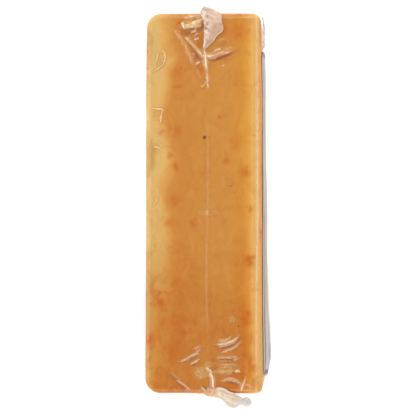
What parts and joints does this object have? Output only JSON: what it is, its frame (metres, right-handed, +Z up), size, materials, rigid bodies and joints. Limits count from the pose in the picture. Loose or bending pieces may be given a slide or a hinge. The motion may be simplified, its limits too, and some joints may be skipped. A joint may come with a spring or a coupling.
{
  "type": "cheddar block in clear film",
  "caption": "Long rounded loaf of orange cheddar in tight clear film, with a centre seam, gathered ends, a folded ear, a twisted tail and a label on a broad side. Food that rests on a shelf.",
  "frame": {"origin": "the middle of the flat narrow side that the loaf rests on", "axes": "+Z up through the seam side, +Y along the loaf towards the end with the ear, +X towards the broad side with the label"},
  "size_m": [0.0632, 0.2013, 0.0773],
  "materials": {
    "cheddar_in_film": "mottled orange cheddar seen through tight glossy clear film, paler along its edges and in the folds",
    "cheddar": "orange cheddar with darker blotches and yellower edges, slightly moist",
    "clear_film": "thin clear shrunk film, glossy, milky in its folds",
    "label": "glossy white and silver grey label film with a green and maroon edge line",
    "film_bead": "thick milky translucent film"
  },
  "bodies": {
    "root": {"sealed_bag": "cheddar_in_film", "front_label": "label", "tail_tip": "film_bead"}
  },
  "joints": []
}
